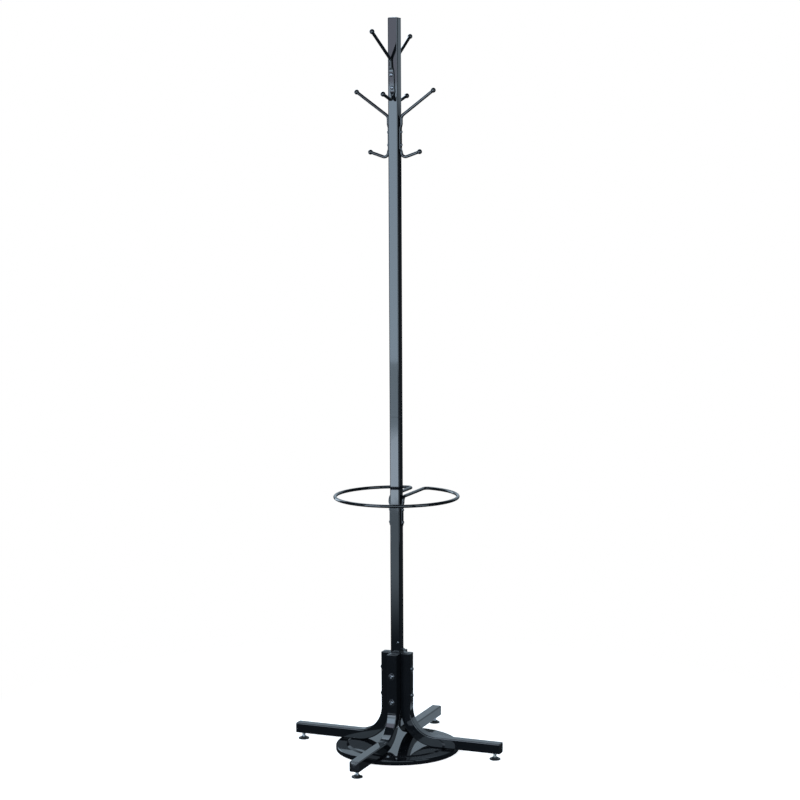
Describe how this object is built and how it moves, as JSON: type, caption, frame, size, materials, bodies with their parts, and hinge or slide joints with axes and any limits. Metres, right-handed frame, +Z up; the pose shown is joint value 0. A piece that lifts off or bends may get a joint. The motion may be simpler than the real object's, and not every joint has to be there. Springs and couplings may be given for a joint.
{
  "type": "standing coat rack",
  "caption": "Square-column floor coat rack with double hooks near the top, a wire umbrella ring at knee height, curved tube legs, a round base disc and screw-in glides.",
  "frame": {"origin": "on the floor, on the axis of the column", "axes": "+Z up; the legs point along +X, +Y, -X and -Y; -Y is the front; the ring's open side faces +Y"},
  "size_m": [0.544, 0.544, 1.778],
  "materials": {
    "enamelled_tube": "gloss black enamel on square steel tube",
    "enamelled_rod": "gloss black enamel on round steel rod",
    "enamelled_disc": "gloss black enamel on pressed steel sheet",
    "black_fasteners": "black plated domed screws, nuts and washers",
    "cap_plastic": "moulded black plastic plugs",
    "glide_plastic": "moulded black glide pads",
    "zinc_steel": "zinc plated threaded studs and inserts",
    "bare_sleeve": "bare drawn steel tube inside the column"
  },
  "bodies": {
    "rack": {"column_lower": "enamelled_tube", "column_upper": "enamelled_tube", "column_sleeve": "bare_sleeve", "column_top_cap": "cap_plastic", "column_base_screws": "black_fasteners", "leg_front": "enamelled_tube", "leg_right": "enamelled_tube", "leg_back": "enamelled_tube", "leg_left": "enamelled_tube", "leg_top_cap_front": "cap_plastic", "leg_top_cap_right": "cap_plastic", "leg_top_cap_back": "cap_plastic", "leg_top_cap_left": "cap_plastic", "leg_end_cap_front": "cap_plastic", "leg_end_cap_right": "cap_plastic", "leg_end_cap_back": "cap_plastic", "leg_end_cap_left": "cap_plastic", "leg_bolts": "black_fasteners", "leg_cap_nuts": "black_fasteners", "leg_washers": "black_fasteners", "base_disc": "enamelled_disc", "base_disc_screws": "black_fasteners", "umbrella_ring": "enamelled_rod", "umbrella_ring_screws": "black_fasteners", "hook_front": "enamelled_rod", "hook_right": "enamelled_rod", "hook_back": "enamelled_rod", "hook_left": "enamelled_rod", "hook_balls_front": "enamelled_rod", "hook_balls_right": "enamelled_rod", "hook_balls_back": "enamelled_rod", "hook_balls_left": "enamelled_rod", "hook_screws": "black_fasteners", "glide_insert_front": "zinc_steel", "glide_insert_right": "zinc_steel", "glide_insert_back": "zinc_steel", "glide_insert_left": "zinc_steel"},
    "glide_pad_front": {"glide_pad_front": "glide_plastic"},
    "glide_stud_front": {"glide_stud_front": "zinc_steel"},
    "glide_pad_right": {"glide_pad_right": "glide_plastic"},
    "glide_stud_right": {"glide_stud_right": "zinc_steel"},
    "glide_pad_back": {"glide_pad_back": "glide_plastic"},
    "glide_stud_back": {"glide_stud_back": "zinc_steel"},
    "glide_pad_left": {"glide_pad_left": "glide_plastic"},
    "glide_stud_left": {"glide_stud_left": "zinc_steel"}
  },
  "joints": [
    {"name": "glide_height_front", "type": "slide", "parent": "rack", "child": "glide_pad_front", "axis": [0, 0, 1], "range_m": [-0.008, 0.006]},
    {"name": "glide_turn_front", "type": "hinge", "parent": "glide_pad_front", "child": "glide_stud_front", "pos_m": [0, -0.254, 0.02], "axis": [0, 0, 1], "range_deg": [-2305, 1729]},
    {"name": "glide_height_right", "type": "slide", "parent": "rack", "child": "glide_pad_right", "axis": [0, 0, 1], "range_m": [-0.008, 0.006]},
    {"name": "glide_turn_right", "type": "hinge", "parent": "glide_pad_right", "child": "glide_stud_right", "pos_m": [0.254, 0, 0.02], "axis": [0, 0, 1], "range_deg": [-2305, 1729]},
    {"name": "glide_height_back", "type": "slide", "parent": "rack", "child": "glide_pad_back", "axis": [0, 0, 1], "range_m": [-0.008, 0.006]},
    {"name": "glide_turn_back", "type": "hinge", "parent": "glide_pad_back", "child": "glide_stud_back", "pos_m": [0, 0.254, 0.02], "axis": [0, 0, 1], "range_deg": [-2305, 1729]},
    {"name": "glide_height_left", "type": "slide", "parent": "rack", "child": "glide_pad_left", "axis": [0, 0, 1], "range_m": [-0.008, 0.006]},
    {"name": "glide_turn_left", "type": "hinge", "parent": "glide_pad_left", "child": "glide_stud_left", "pos_m": [-0.254, 0, 0.02], "axis": [0, 0, 1], "range_deg": [-2305, 1729]}
  ],
  "couplings": [
    {"joint": "glide_turn_front", "follows": "glide_height_front", "rad_per_m": 5026.5},
    {"joint": "glide_turn_right", "follows": "glide_height_right", "rad_per_m": 5026.5},
    {"joint": "glide_turn_back", "follows": "glide_height_back", "rad_per_m": 5026.5},
    {"joint": "glide_turn_left", "follows": "glide_height_left", "rad_per_m": 5026.5}
  ]
}
